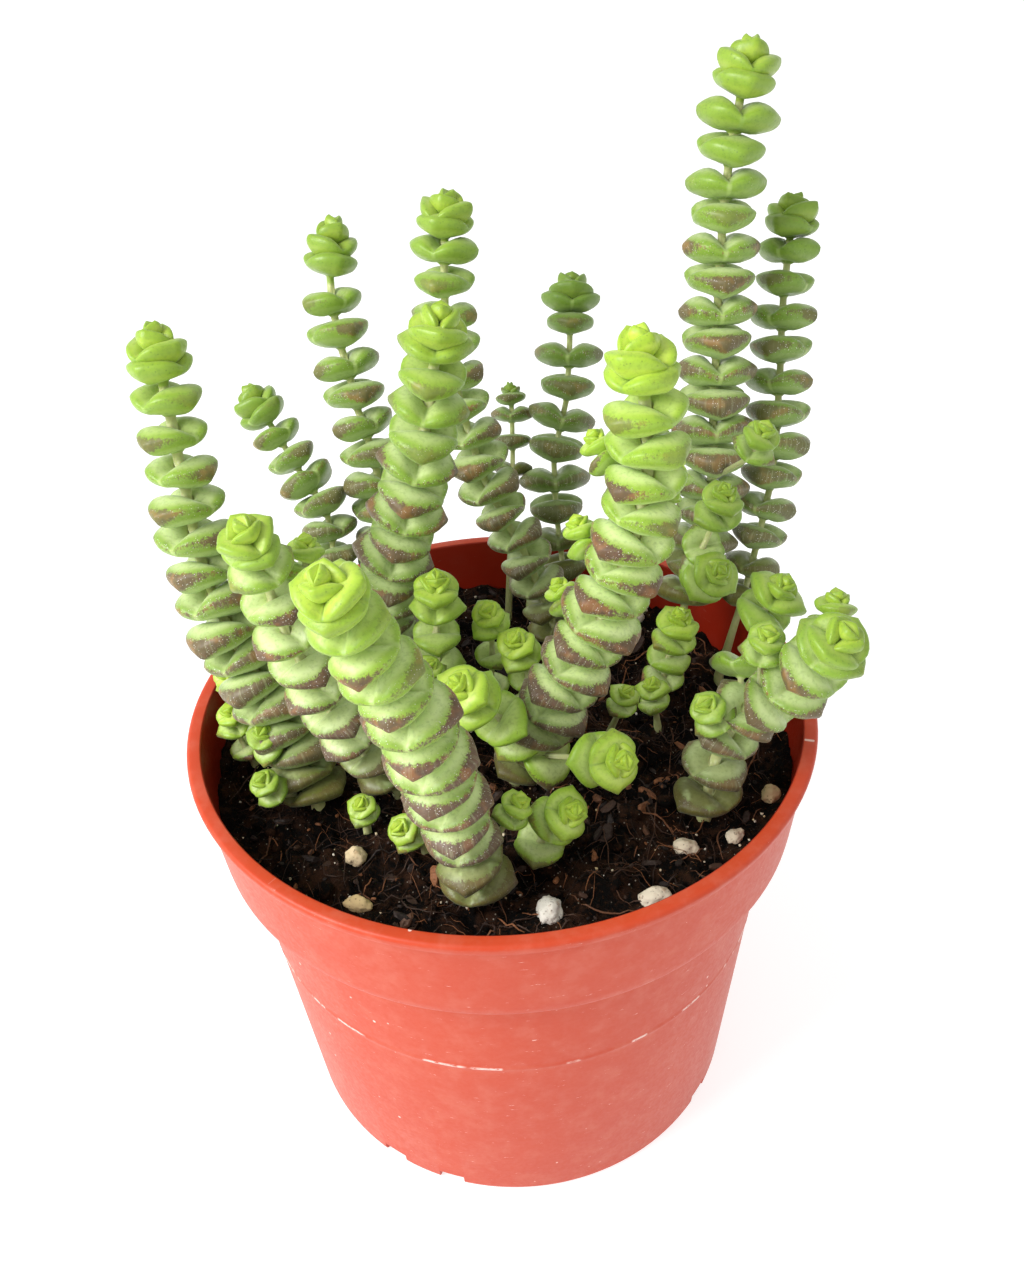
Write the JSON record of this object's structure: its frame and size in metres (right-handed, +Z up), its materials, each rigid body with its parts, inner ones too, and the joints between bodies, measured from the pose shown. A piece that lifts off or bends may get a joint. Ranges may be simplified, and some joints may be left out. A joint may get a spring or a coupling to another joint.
{
  "type": "potted baby necklace crassula",
  "caption": "Upright succulent with leaf pairs threaded on thin stems and rosettes at the tips, rooted in dark soil in a tapered plastic grower's pot.",
  "frame": {"origin": "middle of the flat underside of the pot", "axes": "+Z up along the pot's axis, +Y towards the back and +X towards the right of the view in the picture"},
  "size_m": [0.1095, 0.1126, 0.1755],
  "materials": {
    "pot_plastic": "satin",
    "potting_soil": "matte",
    "pale_stone": "matte",
    "leaf": "satin"
  },
  "bodies": {
    "root": {"pot": "pot_plastic", "soil": "potting_soil", "perlite_front": "pale_stone", "pumice_front_right": "pale_stone", "pumice_right": "pale_stone", "pumice_right_pink": "pale_stone", "pumice_right_wall": "pale_stone", "pumice_left": "pale_stone", "pumice_front_left": "pale_stone", "pumice_middle": "pale_stone", "pumice_back_left": "pale_stone", "perlite_back_right": "pale_stone", "stem_front_left": "leaf", "stem_front_right": "leaf", "stem_centre": "leaf", "stem_back_centre": "leaf", "stem_back_left": "leaf", "stem_left": "leaf", "stem_left_arching": "leaf", "stem_left_second": "leaf", "stem_right_tall": "leaf", "stem_right_back": "leaf", "stem_back_thin": "leaf", "stem_back_small": "leaf", "stem_right": "leaf", "shoot_centre": "leaf", "shoot_middle_left": "leaf", "shoot_middle_right": "leaf", "shoot_front": "leaf", "shoot_front_low": "leaf", "shoot_left_low": "leaf", "shoot_left_wall": "leaf", "shoot_left_rim": "leaf", "shoot_right_middle": "leaf", "shoot_right_low": "leaf", "shoot_right_bare": "leaf"}
  },
  "joints": []
}
